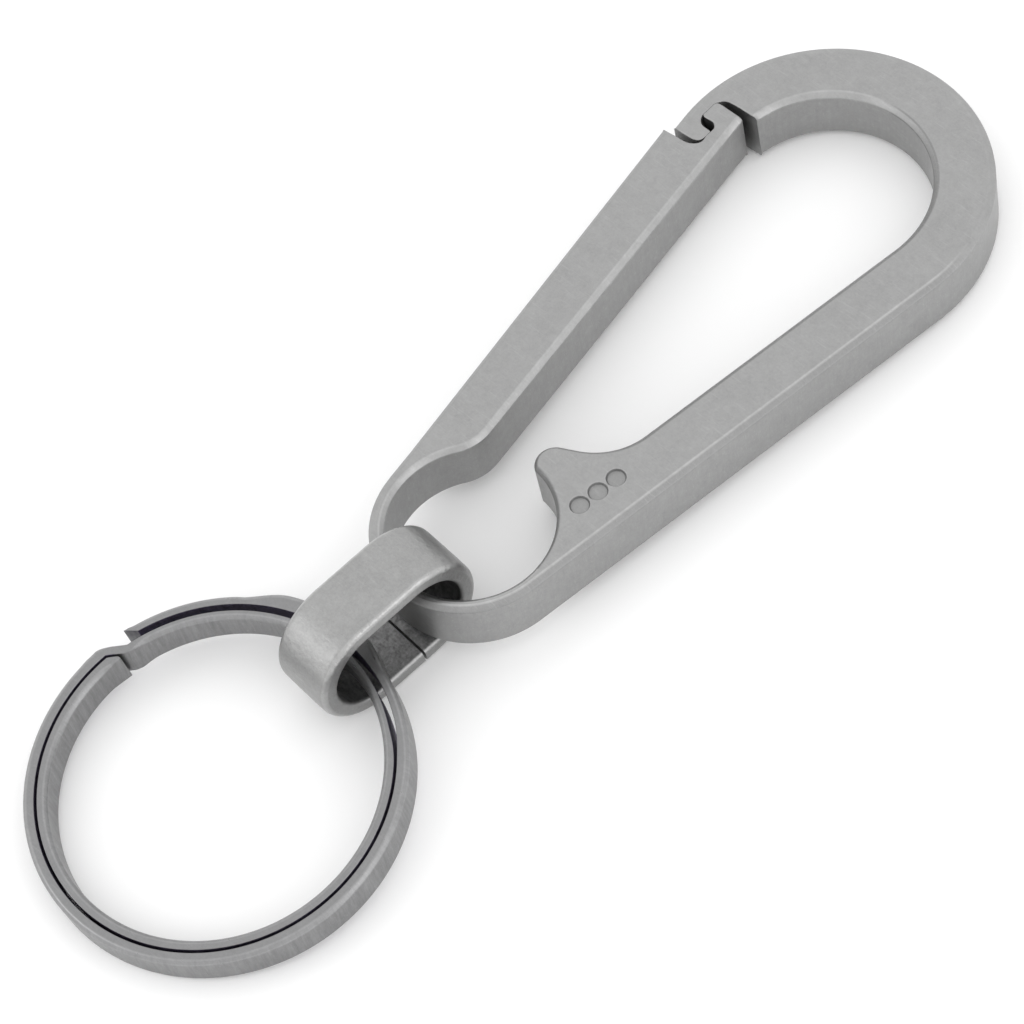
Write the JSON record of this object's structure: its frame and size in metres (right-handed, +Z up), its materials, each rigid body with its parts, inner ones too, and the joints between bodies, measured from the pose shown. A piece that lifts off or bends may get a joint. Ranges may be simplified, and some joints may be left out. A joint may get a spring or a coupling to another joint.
{
  "type": "keychain bottle opener",
  "caption": "Flat metal carabiner with a springy gate and an opener nose inside its narrow end, joined by an oval link to a flat split ring.",
  "frame": {"origin": "centre of the assembly's footprint, on the table it lies on", "axes": "+Z up; +Y along the object from the split ring towards the wide end of the carabiner; +X towards the solid spine, the gate is on the -X side"},
  "size_m": [0.029, 0.0926, 0.01],
  "materials": {
    "plate": "tumbled matt titanium",
    "band": "tumbled satin titanium",
    "ring": "cut and tumbled titanium"
  },
  "bodies": {
    "carabiner": {"frame": "plate"},
    "gate": {"gate_arm": "plate"},
    "link": {"link_band": "band"},
    "ring": {"ring_coil": "ring"},
    "tongue": {"ring_tongue": "ring"}
  },
  "joints": [
    {"name": "gate_flex", "type": "hinge", "parent": "carabiner", "child": "gate", "pos_m": [-0.00495, -0.00888, 0.00413], "axis": [0, -0.0297, -0.9996], "range_deg": [0, 11], "stiffness_Nm_per_rad": 0.8, "springref_deg": -1.72},
    {"name": "link_swing", "type": "hinge", "parent": "carabiner", "child": "link", "pos_m": [0.00127, -0.0129, 0.00425], "axis": [1, 0, 0], "range_deg": [-85, 85]},
    {"name": "ring_swing", "type": "hinge", "parent": "link", "child": "ring", "pos_m": [0, -0.0181, 0.0043], "axis": [1, 0, 0], "range_deg": [-80, 80]},
    {"name": "ring_pry", "type": "hinge", "parent": "ring", "child": "tongue", "pos_m": [-0.00932, -0.02117, 0.00323], "axis": [0, 0.0671, -0.9977], "range_deg": [0, 8], "stiffness_Nm_per_rad": 0.3}
  ]
}
